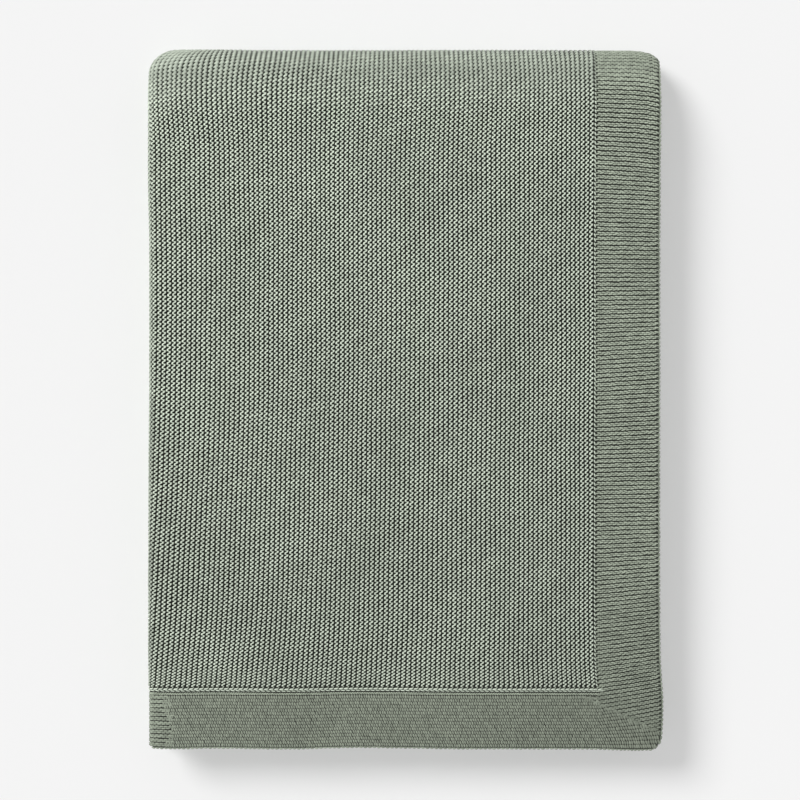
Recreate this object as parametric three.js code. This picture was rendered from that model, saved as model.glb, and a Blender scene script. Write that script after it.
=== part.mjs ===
// A knitted blanket, folded in thirds across and then in thirds along, lying on its last run.
// Millimetres, +Z up. X is across the folded blanket, Y runs from its open front edge to its rolled back.
// The flat cloth is a thin box. Every corner of its grid is carried through the two folds, in the order
// in which the cloth was folded: across first, into a bundle of three layers, and then along.
import * as THREE from 'three';
import { mergeVertices } from 'three/addons/utils/BufferGeometryUtils.js';

// Driving dimensions of the folded blanket
const foldedWidth = 433.7;
const foldedLength = 595.7;
const clothThickness = 4.6;
const layerGap = 0.7;
const knitColour = 0x828a7c;

// The border is knitted thinner than the panel, with a sunk line where the two meet.
const borderWidth = 53;
const borderThinner = 1.2;
const seamWidth = 3.4;
const seamThinner = 1.5;

// The cloth's rim is rounded: the share of its thickness left at the hem and just inside it
const hemRound = 1.4;
const hemRimShare = 0.45;
const hemShoulderShare = 0.92;

// How the stack was folded
const rollLength = 58;
const rollDrop = 30;
const innerRunEnd = 226;
const frontFoldInset = 3;
const rightFoldInset = 2;
const leftHemInset = 3;

// The rounded corners that the stack shows from above
const corners = [
  { side: -1, end: 1, radius: 22, reach: 45 },
  { side: 1, end: 1, radius: 5.5, reach: 20 },
  { side: 1, end: -1, radius: 10.5, reach: 26 },
  { side: -1, end: -1, radius: 2.5, reach: 12 },
];

// How far each long edge stands out, for a few places along the stack
const longEdges = [
  { along: -300, left: -0.2, right: 1.5 },
  { along: -262, left: -0.3, right: 2.6 },
  { along: -215, left: 0.1, right: 0 },
  { along: -160, left: 0, right: -0.4 },
  { along: -60, left: -0.3, right: -0.4 },
  { along: 20, left: -0.9, right: -0.2 },
  { along: 120, left: -0.9, right: -0.3 },
  { along: 190, left: 0.2, right: 0.1 },
  { along: 256, left: 0.2, right: 0.7 },
  { along: 300, left: 0, right: 1.4 },
];

// How far the open front edge and the rolled back stand out, for a few places across the stack
const shortEdges = [
  { across: -217, front: 0.4, back: 0 },
  { across: -198, front: 1, back: 0.1 },
  { across: -160, front: 0.4, back: 0.2 },
  { across: -100, front: 1.1, back: -0.3 },
  { across: -40, front: -0.2, back: -0.3 },
  { across: 60, front: 1, back: -0.1 },
  { across: 150, front: 1.1, back: -0.2 },
  { across: 194, front: 2.3, back: -0.3 },
  { across: 204, front: 2.4, back: -0.9 },
  { across: 211, front: 2.3, back: -2.3 },
  { across: 217, front: 2.2, back: -5.4 },
];

// How far the cloth wanders sideways along its length, so that its runs don't lie square on each other
const sideways = [
  { distance: 560, shift: 0 },
  { distance: 720, shift: -1.4 },
  { distance: 1140, shift: -1.2 },
  { distance: 1260, shift: 1.3 },
  { distance: 1700, shift: 0.6 },
];

// The soft stack is a little lower at its rim: the share of its height left, by distance from the edge
const rimHeights = [
  { inward: 0, front: 0.925, left: 0.985, right: 0.965 },
  { inward: 30, front: 0.95, left: 0.995, right: 0.98 },
  { inward: 80, front: 0.985, left: 1, right: 0.995 },
  { inward: 160, front: 1, left: 1, right: 1 },
];

const halfWidth = foldedWidth / 2;
const halfLength = foldedLength / 2;
const layerPitch = clothThickness + layerGap;
const bundleHeight = 3 * clothThickness + 2 * layerGap;
const runPitch = bundleHeight + layerGap;
const foldRadius = layerPitch / 2;
const foldReach = foldRadius + clothThickness / 2;

// Reads one column of a short table at a place, with smooth steps between its rows.
function readTable(rows, key, column, place) {
  if (place <= rows[0][key]) return rows[0][column];
  for (let i = 1; i < rows.length; i++) {
    if (place <= rows[i][key]) {
      const share = (place - rows[i - 1][key]) / (rows[i][key] - rows[i - 1][key]);
      const blend = share * share * (3 - 2 * share);
      return THREE.MathUtils.lerp(rows[i - 1][column], rows[i][column], blend);
    }
  }
  return rows[rows.length - 1][column];
}

// The distances at which the grid has a row. From a hem they are the rounded rim, the border and the
// sunk line. From a sideways fold they widen, because the stack's corners are rounded there.
const hemRows = [0, hemRound, 3 * hemRound, 7 * hemRound, 14 * hemRound, borderWidth - seamWidth / 2,
  borderWidth, borderWidth + seamWidth / 2];
const foldRows = [0, 5, 13, 40];
const bendRows = [0, 20];

// The stations of a flat run between two places, with its rows at both ends and plain steps between.
function runStations(from, fromRows, to, toRows, steps) {
  const sense = Math.sign(to - from);
  const start = fromRows.map((d) => from + sense * d);
  const finish = toRows.map((d) => to - sense * d).reverse();
  const middle = [];
  for (let i = 1; i < steps; i++) {
    middle.push(THREE.MathUtils.lerp(start[start.length - 1], finish[0], i / steps));
  }
  return [...start, ...middle, ...finish];
}

// A station of a fold: a point, the direction of the cloth's outer side there, and for the fold along
// the stack also how far out its outer side lies.
function station(at, out, edge = 0) {
  return { at: new THREE.Vector2(...at), out: new THREE.Vector2(...out).normalize(), edge };
}

// Across: one back-and-forth section of three layers. Its stations are points (x, h) of the cloth's
// middle plane, from the side hem that shows to the one at the bottom of the bundle.
function acrossFold() {
  const stations = [];
  const heights = [2.5 * clothThickness + 2 * layerGap, 1.5 * clothThickness + layerGap, clothThickness / 2];
  const leftCentre = -halfWidth + foldReach;
  const rightCentre = halfWidth - rightFoldInset - foldReach;
  const leftHem = -halfWidth + leftHemInset;
  const turnSteps = 5;
  const layer = (xs, h, up) => xs.forEach((x) => stations.push(station([x, h], [0, up])));
  const turn = (centre, h, side, sense) => {
    for (let i = 1; i < turnSteps; i++) {
      const angle = (i / turnSteps) * Math.PI;
      const dx = side * Math.sin(angle);
      const dh = Math.cos(angle);
      stations.push(station([centre + foldRadius * dx, h + foldRadius * dh], [sense * dx, sense * dh]));
    }
  };
  layer(runStations(halfWidth, hemRows, leftCentre, foldRows, 3), heights[0], 1);
  turn(leftCentre, (heights[0] + heights[1]) / 2, -1, 1);
  layer(runStations(leftCentre, foldRows, rightCentre, foldRows, 3), heights[1], -1);
  turn(rightCentre, (heights[1] + heights[2]) / 2, 1, -1);
  layer(runStations(rightCentre, foldRows, leftHem, hemRows, 3), heights[2], 1);
  return stations;
}

// Along: the path (y, z) of the bundle's inner side. It goes back over the top, round the soft roll,
// forward along the floor, round the front fold and back inside.
function alongFold() {
  const stations = [];
  const topInner = 2 * runPitch;
  const floorInner = bundleHeight;
  const rollStart = halfLength - rollLength;
  const rollFoot = topInner + bundleHeight - rollDrop;
  const footCentre = halfLength - rollFoot;
  const frontRadius = bundleHeight + layerGap / 2;
  const frontCentre = -halfLength + frontFoldInset + frontRadius;
  const run = (ys, z, up) => ys.forEach((y) => stations.push(station([y, z], [0, up], y)));
  // A bend follows part of an ellipse, counted in quarter turns from straight up.
  const bend = ({ y, z, reach, rise, from, quarters, steps, last }) => {
    for (let i = 1; i <= last; i++) {
      const angle = (from + quarters * i / steps) * Math.PI / 2;
      const outer = new THREE.Vector2(y + reach * Math.sin(angle), z + rise * Math.cos(angle));
      const out = new THREE.Vector2(Math.sin(angle) / reach, Math.cos(angle) / rise).normalize();
      stations.push(station(outer.clone().addScaledVector(out, -bundleHeight), out, outer.x));
    }
  };
  const roll = { y: rollStart, z: rollFoot, reach: rollLength, rise: rollDrop, from: 0, quarters: 1 };
  const foot = { y: footCentre, z: rollFoot, reach: rollFoot, rise: rollFoot, from: 1, quarters: 1 };
  const front = { y: frontCentre, z: frontRadius, reach: frontRadius, rise: frontRadius, from: 2, quarters: 2 };
  run(runStations(-halfLength, hemRows, rollStart, bendRows, 5), topInner, 1);
  bend({ ...roll, steps: 8, last: 8 });
  bend({ ...foot, steps: 4, last: 3 });
  run(runStations(footCentre, bendRows, frontCentre, bendRows, 5), floorInner, -1);
  bend({ ...front, steps: 6, last: 5 });
  run(runStations(frontCentre, bendRows, innerRunEnd, hemRows, 4), runPitch, 1);
  return stations;
}

// Gives each station its distance along the cloth, at a height from the path, and returns the length.
function measure(stations, height) {
  let distance = 0;
  let last = null;
  stations.forEach((s) => {
    const point = s.at.clone().addScaledVector(s.out, height);
    distance += last ? point.distanceTo(last) : 0;
    s.distance = distance;
    last = point;
  });
  return distance;
}

// The cloth's thickness at distances from its nearer hem across and its nearer hem along.
function thicknessAt(fromSide, fromEnd) {
  const fromHem = Math.min(fromSide, fromEnd);
  const border = clothThickness - borderThinner;
  const sameRow = 0.01;
  if (fromHem < sameRow) return hemRimShare * border;
  if (fromHem < hemRound + sameRow) return hemShoulderShare * border;
  if (fromHem < borderWidth - sameRow) return border;
  if (fromHem < borderWidth + sameRow) return border - seamThinner;
  return clothThickness;
}

// How far a corner's rounding draws a point in from its long edge, fading out towards the middle.
function cornerPull(x, edge) {
  let pull = 0;
  corners.forEach(({ side, end, radius, reach }) => {
    const past = Math.max(0, edge * end - (halfLength - radius));
    const inward = halfWidth - x * side;
    const full = radius - Math.sqrt(Math.max(0, radius * radius - past * past));
    pull -= side * full * Math.exp(-((inward / reach) ** 2));
  });
  return pull;
}

const across = acrossFold();
const along = alongFold();
const flatWidth = measure(across, 0);
const flatLength = measure(along, bundleHeight / 2);

// Where a corner of the flat grid comes to lie: i and j are its stations, side is -1 or 1.
function place(i, j, side) {
  const a = across[i];
  const b = along[j];
  const fromSide = Math.min(a.distance, flatWidth - a.distance);
  const fromEnd = Math.min(b.distance, flatLength - b.distance);
  const offset = side * thicknessAt(fromSide, fromEnd) / 2;
  const [x, height] = a.at.clone().addScaledVector(a.out, offset);
  const [y, z] = b.at.clone().addScaledVector(b.out, height);
  const share = (x + halfWidth) / foldedWidth;
  const wander = THREE.MathUtils.lerp(
    -readTable(longEdges, 'along', 'left', y),
    readTable(longEdges, 'along', 'right', y),
    share,
  );
  const nearerEdge = readTable(shortEdges, 'across', y < 0 ? 'front' : 'back', x);
  const stray = nearerEdge * (y / halfLength) ** 3;
  const rim = readTable(rimHeights, 'inward', 'front', y + halfLength)
    * readTable(rimHeights, 'inward', 'left', x + halfWidth)
    * readTable(rimHeights, 'inward', 'right', halfWidth - x);
  const shift = wander + readTable(sideways, 'distance', 'shift', b.distance) + cornerPull(x, b.edge);
  return [x + shift, y + stray, z * rim];
}

function foldedCloth() {
  const wide = across.length - 1;
  const long = along.length - 1;
  const box = new THREE.BoxGeometry(wide, long, 2, wide, long, 1);
  box.deleteAttribute('normal');
  box.deleteAttribute('uv');
  const geometry = mergeVertices(box, 0.1);
  const grid = geometry.getAttribute('position');
  for (let v = 0; v < grid.count; v++) {
    // The flat box is seen from above with the first across station at its right and the first along
    // station at its front, so i counts from the right.
    const i = Math.round(wide / 2 - grid.getX(v));
    const j = Math.round(grid.getY(v) + long / 2);
    grid.setXYZ(v, ...place(i, j, grid.getZ(v)));
  }
  geometry.computeBoundingBox();
  const middle = geometry.boundingBox.getCenter(new THREE.Vector3());
  geometry.translate(-middle.x, -middle.y, -geometry.boundingBox.min.z);
  geometry.computeVertexNormals();
  return geometry;
}

const knit = new THREE.MeshStandardMaterial({ color: knitColour, roughness: 0.95, metalness: 0 });
const blanket = new THREE.Mesh(foldedCloth(), knit);
blanket.name = 'blanket';

const group = new THREE.Group();
group.add(blanket);

export default group;
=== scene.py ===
# A knitted blanket folded in thirds both ways. A closed cloth follows the folds of the model, and its
# stitches are laid on everything that shows.
import math

import bpy
import numpy as np
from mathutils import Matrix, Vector


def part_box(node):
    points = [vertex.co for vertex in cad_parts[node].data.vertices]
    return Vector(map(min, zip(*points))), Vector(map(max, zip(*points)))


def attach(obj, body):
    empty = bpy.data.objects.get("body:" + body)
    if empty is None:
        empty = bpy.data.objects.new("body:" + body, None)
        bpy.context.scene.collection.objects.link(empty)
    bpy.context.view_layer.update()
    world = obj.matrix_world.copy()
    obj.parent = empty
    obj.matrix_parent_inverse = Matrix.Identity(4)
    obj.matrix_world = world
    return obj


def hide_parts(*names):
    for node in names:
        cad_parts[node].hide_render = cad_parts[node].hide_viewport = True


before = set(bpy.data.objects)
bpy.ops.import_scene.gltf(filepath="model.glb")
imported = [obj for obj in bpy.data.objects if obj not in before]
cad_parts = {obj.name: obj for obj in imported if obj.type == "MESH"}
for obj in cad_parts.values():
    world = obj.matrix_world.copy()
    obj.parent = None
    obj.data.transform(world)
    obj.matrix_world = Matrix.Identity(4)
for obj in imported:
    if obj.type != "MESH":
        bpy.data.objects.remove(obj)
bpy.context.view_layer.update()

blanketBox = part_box("blanket")
mm = 0.001

# The folded cloth, in millimetres, as the model has it
fold = {
    "width": 433.7,
    "length": 595.7,
    "thickness": 4.6,
    "gap": 0.7,
    "border": 53.0,
    "borderThinner": 1.2,
    "hemRound": 1.7,
    "hemInset": 0.8,
    "hemCut": 0.97,
    "seamSlope": 3.0,
    "rollLength": 58.0,
    "rollDrop": 30.0,
    "innerRunEnd": 226.0,
    "frontFoldInset": 3.0,
    "rightFoldInset": 2.0,
    "leftHemInset": 3.0,
    "flatSize": (1.30, 1.70),
}
halfWidth = fold["width"] / 2
halfLength = fold["length"] / 2
halfCloth = fold["thickness"] / 2
layerPitch = fold["thickness"] + fold["gap"]
bundleHeight = 3 * fold["thickness"] + 2 * fold["gap"]
runPitch = bundleHeight + fold["gap"]
foldRadius = layerPitch / 2
foldReach = foldRadius + halfCloth

# The rounded corners seen from above: which side and end, how round, and how far in the pull reaches
corners = [
    {"side": -1, "end": 1, "radius": 22.0, "reach": 45.0},
    {"side": 1, "end": 1, "radius": 5.5, "reach": 20.0},
    {"side": 1, "end": -1, "radius": 10.5, "reach": 26.0},
    {"side": -1, "end": -1, "radius": 2.5, "reach": 12.0},
]

# How far the edges stand out, how the cloth wanders along its length, and how much lower its rim lies
longEdges = {
    "along": [-300, -262, -215, -160, -60, 20, 120, 190, 256, 300],
    "left": [-0.2, -0.3, 0.1, 0, -0.3, -0.9, -0.9, 0.2, 0.2, 0],
    "right": [1.5, 2.6, 0, -0.4, -0.4, -0.2, -0.3, 0.1, 0.7, 1.4],
}
shortEdges = {
    "across": [-217, -198, -160, -100, -40, 60, 150, 194, 204, 211, 217],
    "front": [0.4, 1, 0.4, 1.1, -0.2, 1, 1.1, 2.3, 2.4, 2.3, 2.2],
    "back": [0, 0.1, 0.2, -0.3, -0.3, -0.1, -0.2, -0.3, -0.9, -2.3, -5.4],
}
sideways = {"distance": [560, 720, 1140, 1260, 1700], "shift": [0, -1.4, -1.2, 1.3, 0.6]}
rimHeights = {
    "inward": [0, 30, 80, 160],
    "front": [0.925, 0.95, 0.985, 1],
    "left": [0.985, 0.995, 1, 1],
    "right": [0.965, 0.98, 0.995, 1],
}


def smooth(share):
    return share * share * (3 - 2 * share)


# How far a place has come through a stretch, from 0 to 1
def ramp(place, start, over):
    return np.clip((place - start) / over, 0, 1)


# Reads a short table with smooth steps between its rows
def smoothRead(table, key, column, place):
    keys = np.array(table[key], float)
    values = np.array(table[column], float)
    place = np.clip(place, keys[0], keys[-1])
    row = np.clip(np.searchsorted(keys, place), 1, len(keys) - 1)
    share = (place - keys[row - 1]) / (keys[row] - keys[row - 1])
    return values[row - 1] + (values[row] - values[row - 1]) * smooth(share)


# The same with straight steps
def straightRead(table, key, column, place):
    return np.interp(place, table[key], table[column])


# A path is a list of rows (a, b, outward a, outward b, edge) that follows the section of the cloth or of
# its bundle. Its straight runs have a step in millimetres, and its bends a number of steps.
pathSteps = {"run": 3.0, "turn": 24, "roll": 40, "foot": 16, "front": 24}


def straightRun(start, end, level, up):
    count = max(2, math.ceil(abs(end - start) / pathSteps["run"]) + 1)
    return [(a, level, 0.0, up, a) for a in np.linspace(start, end, count)]


def clothTurn(centre, level, side, sense):
    rows, steps = [], pathSteps["turn"]
    for i in range(1, steps):
        angle = math.pi * i / steps
        da, db = side * math.sin(angle), math.cos(angle)
        rows.append((centre + foldRadius * da, level + foldRadius * db, sense * da, sense * db, 0.0))
    return rows


def bundleBend(y, z, reach, rise, startQuarter, quarters, steps, withEnd=False):
    rows = []
    for i in range(1, steps + withEnd):
        angle = (startQuarter + quarters * i / steps) * math.pi / 2
        outer = np.array([y + reach * math.sin(angle), z + rise * math.cos(angle)])
        out = np.array([math.sin(angle) / reach, math.cos(angle) / rise])
        out /= np.hypot(*out)
        inner = outer - bundleHeight * out
        rows.append((*inner, *out, outer[0]))
    return rows


def makePath(rows, middle, outer):
    table = np.array(rows)
    path = dict(zip(("a", "b", "outA", "outB", "edge"), table.T))
    for name, height in (("distance", middle), ("outer", outer)):
        at = table[:, :2] + height * table[:, 2:4]
        steps = np.hypot(*np.diff(at, axis=0).T)
        path[name] = np.concatenate([[0.0], np.cumsum(steps)])
    return path


def acrossFold():
    levels = [2.5 * fold["thickness"] + 2 * fold["gap"], 1.5 * fold["thickness"] + fold["gap"], halfCloth]
    left = -halfWidth + foldReach
    right = halfWidth - fold["rightFoldInset"] - foldReach
    marks = {}
    rows = straightRun(halfWidth, left, levels[0], 1)
    marks["leftStart"] = len(rows) - 1
    rows += clothTurn(left, (levels[0] + levels[1]) / 2, -1, 1)
    marks["leftEnd"] = len(rows)
    rows += straightRun(left, right, levels[1], -1)
    marks["rightStart"] = len(rows) - 1
    rows += clothTurn(right, (levels[1] + levels[2]) / 2, 1, -1)
    marks["rightEnd"] = len(rows)
    rows += straightRun(right, -halfWidth + fold["leftHemInset"], levels[2], 1)
    return makePath(rows, 0, halfCloth), marks


def alongFold():
    steps = pathSteps
    topInner = 2 * runPitch
    rollStart = halfLength - fold["rollLength"]
    rollFoot = topInner + bundleHeight - fold["rollDrop"]
    footCentre = halfLength - rollFoot
    frontRadius = bundleHeight + fold["gap"] / 2
    frontCentre = -halfLength + fold["frontFoldInset"] + frontRadius
    marks = {}
    rows = straightRun(-halfLength, rollStart, topInner, 1)
    marks["rollStart"] = len(rows) - 1
    rows += bundleBend(rollStart, rollFoot, fold["rollLength"], fold["rollDrop"], 0, 1, steps["roll"], True)
    rows += bundleBend(footCentre, rollFoot, rollFoot, rollFoot, 1, 1, steps["foot"])
    marks["footEnd"] = len(rows)
    rows += straightRun(footCentre, frontCentre, bundleHeight, -1)
    marks["frontStart"] = len(rows) - 1
    rows += bundleBend(frontCentre, frontRadius, frontRadius, frontRadius, 2, 2, steps["front"])
    marks["frontEnd"] = len(rows)
    rows += straightRun(frontCentre, fold["innerRunEnd"], runPitch, 1)
    return makePath(rows, bundleHeight / 2, bundleHeight), marks


across, acrossMarks = acrossFold()
along, alongMarks = alongFold()
clothWidth = across["distance"][-1]
clothLength = along["distance"][-1]


def follow(path, distance):
    a, b, outA, outB, edge = (
        np.interp(distance, path["distance"], path[name]) for name in ("a", "b", "outA", "outB", "edge")
    )
    size = np.hypot(outA, outB)
    return a, b, outA / size, outB / size, edge


def cornerPull(x, edge):
    pull = np.zeros_like(x)
    for corner in corners:
        past = np.maximum(0, edge * corner["end"] - (halfLength - corner["radius"]))
        past = np.minimum(past, corner["radius"])
        full = corner["radius"] - np.sqrt(corner["radius"] ** 2 - past**2)
        inward = halfWidth - x * corner["side"]
        pull -= corner["side"] * full * np.exp(-((inward / corner["reach"]) ** 2))
    return pull


# Where a point of the flat cloth comes to lie: u and v are its distances across and along, h its height
# from the cloth's middle plane on the outer side.
def lay(u, v, h):
    u, v, h = np.broadcast_arrays(np.asarray(u, float), np.asarray(v, float), np.asarray(h, float))
    x, level, outX, outLevel, _ = follow(across, u)
    x, level = x + outX * h, level + outLevel * h
    y, z, outY, outZ, edge = follow(along, v)
    y, z = y + outY * level, z + outZ * level
    share = (x + halfWidth) / fold["width"]
    wander = -smoothRead(longEdges, "along", "left", y) * (1 - share)
    wander = wander + smoothRead(longEdges, "along", "right", y) * share
    front = smoothRead(shortEdges, "across", "front", x)
    back = smoothRead(shortEdges, "across", "back", x)
    stray = np.where(y < 0, front, back) * (y / halfLength) ** 3
    rim = smoothRead(rimHeights, "inward", "front", y + halfLength)
    rim = rim * smoothRead(rimHeights, "inward", "left", x + halfWidth)
    rim = rim * smoothRead(rimHeights, "inward", "right", halfWidth - x)
    shift = wander + smoothRead(sideways, "distance", "shift", v) + cornerPull(x, edge)
    return np.stack([x + shift, y + stray, z * rim], axis=-1) + frameShift


# The model's own box places the cloth in the frame.
frameShift = np.zeros(3)
probe = lay(
    np.linspace(0, clothWidth, 300)[:, None, None],
    np.linspace(0, clothLength, 500)[None, :, None],
    np.array([-halfCloth, halfCloth])[None, None, :],
).reshape(-1, 3)
boxLow, boxHigh = (np.array(corner) / mm for corner in blanketBox)
frameShift = (boxLow + boxHigh) / 2 - (probe.min(axis=0) + probe.max(axis=0)) / 2
frameShift[2] = boxLow[2] - probe[:, 2].min()
print("fold: cloth of %.0f by %.0f mm" % (clothWidth, clothLength))

# How deep the ground between the stitches lies under their tops, and how far past the hems and folds it
# does so, in millimetres
relief = {
    "panel": 1.6,
    "border": 0.6,
    "proud": 0.2,
    "deepest": 0.8,
    "seamSlope": 2.0,
    "fade": 6.0,
    "sharpFade": 1.0,
    "pastHem": 9.0,
    "pastFold": 5.0,
    "pastFront": 10.0,
}


def pathPlace(path, marks, name, column="distance"):
    return path[column][marks[name]]


leftStart, leftEnd = (pathPlace(across, acrossMarks, n) for n in ("leftStart", "leftEnd"))
rightStart, rightEnd = (pathPlace(across, acrossMarks, n) for n in ("rightStart", "rightEnd"))
footEnd, frontStart, frontEnd = (
    pathPlace(along, alongMarks, n) for n in ("footEnd", "frontStart", "frontEnd")
)


def within(place, low, high, fade):
    return np.clip((place - low) / fade + 1, 0, 1) * np.clip((high - place) / fade + 1, 0, 1)


# 1 where stitches are laid on the cloth, on its outer side (1) or its inner one (-1), and 0 where none are
def stitched(u, v, side):
    fade, sharp, pastHem, pastFold = (relief[n] for n in ("fade", "sharpFade", "pastHem", "pastFold"))
    innerEnd = clothLength - fold["border"]
    if side < 0:
        return within(u, rightStart, rightEnd, fade) * within(v, fold["border"], innerEnd, sharp)
    above = within(v, -pastHem, footEnd + pastFold, fade)
    infold = within(v, frontStart - pastFold, frontEnd + relief["pastFront"], fade)
    face = within(u, -pastHem, leftStart, fade) * np.maximum(above, infold)
    return np.maximum(face, within(u, leftStart, leftEnd, fade) * within(v, -pastHem, innerEnd, sharp))


def fromHems(u, v):
    side = np.minimum(u, clothWidth - u)
    end = np.minimum(v, clothLength - v)
    return np.minimum(side, end)


def fromRim(u, v):
    return fromHems(u, v) - fold["hemInset"]


def panelShare(u, v, slope):
    return np.clip((fromHems(u, v) - fold["border"]) / slope + 0.5, 0, 1)


def clothThickness(u, v):
    plain = fold["thickness"] - fold["borderThinner"] * (1 - panelShare(u, v, fold["seamSlope"]))
    left = np.clip(1 - fromRim(u, v) / fold["hemRound"], 0, fold["hemCut"])
    return plain * np.sqrt(1 - left**2)


# The height of the ground between the stitches, over the cloth's middle plane
def ground(u, v, side):
    depth = relief["border"] + (relief["panel"] - relief["border"]) * panelShare(u, v, relief["seamSlope"])
    room = clothThickness(u, v) / 2
    return room - np.minimum(depth * stitched(u, v, side), relief["deepest"] * room)


def meshFrom(name, points, faces, smooth=True):
    mesh = bpy.data.meshes.new(name)
    mesh.from_pydata([tuple(p) for p in points], [], faces)
    mesh.update()
    if smooth:
        mesh.shade_smooth()
    return mesh


def newObject(name, mesh):
    piece = bpy.data.objects.new(name, mesh)
    bpy.context.scene.collection.objects.link(piece)
    return piece


def pointValues(mesh, name, values, kind="FLOAT"):
    layer = mesh.attributes.new(name, kind, "POINT")
    layer.data.foreach_set("value" if kind == "FLOAT" else "vector", np.asarray(values, np.float32).ravel())


# The yarn, and for each part of the knit how light it is, how deep in the stitches it is fully lit, and how
# much its tone differs from stitch to stitch. Below that depth the colour is painted darker, down to the
# near black gap colours: painted shade in the gaps and down the sides of the stitches.
yarn = {
    # The two gap colours: near black, painted shade in the gaps between the stitches
    "gap": (0.012, 0.014, 0.010),
    "borderGapShade": (0.02, 0.022, 0.018),
    "roughness": 0.9,
    "sheen": 0.12,
    "specular": 0.2,
    # Painted light: how much lighter per metre the yarn and ground get towards the side the key light comes
    # from
    "slope": (-0.40, 0.38, 0.0),
    "fibreScale": 2600.0,
    "cloudScale": 14.0,
    "cloudSpread": 0.055,
    "plies": 3.0,
    "plyHeight": 0.5,
    "bump": {"Strength": 0.45, "Distance": 0.00012},
}
finishes = {
    "panelYarn": {"light": (0.672, 0.75, 0.626), "gap": "gap", "litFrom": 0.71, "uneven": 0.2},
    # The folds' yarn is the panel yarn about a quarter darker: painted shade on the folds' stitches
    "shadedFoldYarn": {"light": (0.49, 0.547, 0.456), "gap": "gap", "litFrom": 0.71, "uneven": 0.2},
    "sideBorderYarn": {"light": (0.412, 0.464, 0.37), "gap": "borderGapShade", "litFrom": 0.71, "uneven": 0.35},
    "endBorderYarn": {"light": (0.289, 0.324, 0.258), "gap": "borderGapShade", "litFrom": 0.87, "uneven": 0.3},
}


class Nodes:
    # A short way to add nodes to a tree and link them.
    def __init__(self, tree):
        self.tree = tree

    def add(self, kind, inputs=(), **settings):
        node = self.tree.nodes.new(kind)
        for key, value in settings.items():
            setattr(node, key, value)
        for key, value in dict(inputs).items():
            socket = node.inputs[key]
            if isinstance(value, bpy.types.NodeSocket):
                self.tree.links.new(value, socket)
            else:
                socket.default_value = value
        return node

    def maths(self, operation, *values):
        return self.add("ShaderNodeMath", dict(enumerate(values)), operation=operation).outputs[0]

    def blend(self, share, first, second):
        node = self.add("ShaderNodeMix", {"Factor": share}, data_type="RGBA")
        for socket, value in ((node.inputs[6], first), (node.inputs[7], second)):
            if isinstance(value, bpy.types.NodeSocket):
                self.tree.links.new(value, socket)
            else:
                socket.default_value = value
        return node.outputs[2]

    def attribute(self, name):
        return self.add("ShaderNodeAttribute", attribute_name=name).outputs["Fac"]


def rgba(colour):
    return (*colour, 1.0)


def knitMaterial(name):
    material = bpy.data.materials.new(name)
    material.use_nodes = True
    tree = material.node_tree
    tree.nodes.clear()
    nodes = Nodes(tree)
    shader = nodes.add("ShaderNodeBsdfPrincipled")
    shader.inputs["Roughness"].default_value = yarn["roughness"]
    shader.inputs["Sheen Weight"].default_value = yarn["sheen"]
    shader.inputs["Specular IOR Level"].default_value = yarn["specular"]
    output = nodes.add("ShaderNodeOutputMaterial")
    tree.links.new(shader.outputs[0], output.inputs[0])
    place = nodes.add("ShaderNodeTexCoord").outputs["Object"]
    return material, nodes, shader, place


# Soft clouds of tone over the whole cloth, with painted light added on top: lighter towards the side the key
# light comes from and darker away from it, and the fine fibres of the yarn
def cloudPaintedLightAndFibre(nodes, place):
    cloud = nodes.add("ShaderNodeTexNoise", {"Vector": place, "Scale": yarn["cloudScale"], "Detail": 2.0})
    spread = yarn["cloudSpread"]
    tone = nodes.add(
        "ShaderNodeMapRange",
        {
            "Value": cloud.outputs[0],
            "From Min": 0.3,
            "From Max": 0.7,
            "To Min": 1 - spread,
            "To Max": 1 + spread,
        },
    ).outputs[0]
    # Painted light: lighter towards the side the key light comes from, darker away from it
    slope = nodes.add("ShaderNodeVectorMath", {0: place, 1: yarn["slope"]}, operation="DOT_PRODUCT")
    fibre = nodes.add("ShaderNodeTexNoise", {"Vector": place, "Scale": yarn["fibreScale"], "Detail": 2.0})
    return nodes.maths("ADD", tone, slope.outputs["Value"]), fibre.outputs[0]


def yarnMaterial(name):
    finish = finishes[name]
    material, nodes, shader, place = knitMaterial(name)
    cloud, fibre = cloudPaintedLightAndFibre(nodes, place)
    depth = nodes.attribute("depth")
    lit = nodes.add(
        "ShaderNodeMapRange",
        {"Value": depth, "From Min": 0.0, "From Max": finish["litFrom"]},
        interpolation_type="SMOOTHSTEP",
    ).outputs[0]
    # Painted shade: the light yarn colour at the stitch tops darkens to the near black gap colour deeper down
    colour = nodes.blend(lit, rgba(yarn[finish["gap"]]), rgba(finish["light"]))
    uneven = finish["uneven"]
    tone = nodes.maths("MULTIPLY_ADD", nodes.attribute("tone"), uneven, 1 - uneven / 2)
    tone = nodes.maths("MULTIPLY", tone, nodes.maths("SUBTRACT", 1.0, nodes.attribute("dim")))
    # The stitch tone is scaled by the clouds and by the painted light
    strength = nodes.maths("MULTIPLY", tone, cloud)
    scaled = nodes.add("ShaderNodeVectorMath", {0: colour, "Scale": strength}, operation="SCALE")
    nodes.tree.links.new(scaled.outputs[0], shader.inputs["Base Color"])
    turns = nodes.add("ShaderNodeSeparateXYZ", {0: nodes.add("ShaderNodeUVMap", uv_map="yarn").outputs[0]})
    twist = nodes.maths("MULTIPLY_ADD", turns.outputs[0], yarn["plies"], turns.outputs[1])
    ply = nodes.maths("SINE", nodes.maths("MULTIPLY", twist, 2 * math.pi))
    height = nodes.maths("MULTIPLY_ADD", ply, yarn["plyHeight"], fibre)
    bump = nodes.add("ShaderNodeBump", {"Height": height, **yarn["bump"]})
    nodes.tree.links.new(bump.outputs[0], shader.inputs["Normal"])
    return material


# The cloth itself: a near black ground under the laid stitches, painted shade between them, and the same knit
# in relief where none are laid, its grooves painted darker as shade
clothFinish = {
    "dark": (0.06, 0.07, 0.055),
    "light": (0.36, 0.41, 0.335),
    "most": 0.95,
    "borderLess": 0.25,
    "swing": 0.22,
    "fibre": 0.1,
    "bump": {"Strength": 0.8, "Distance": 0.0008},
}


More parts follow.
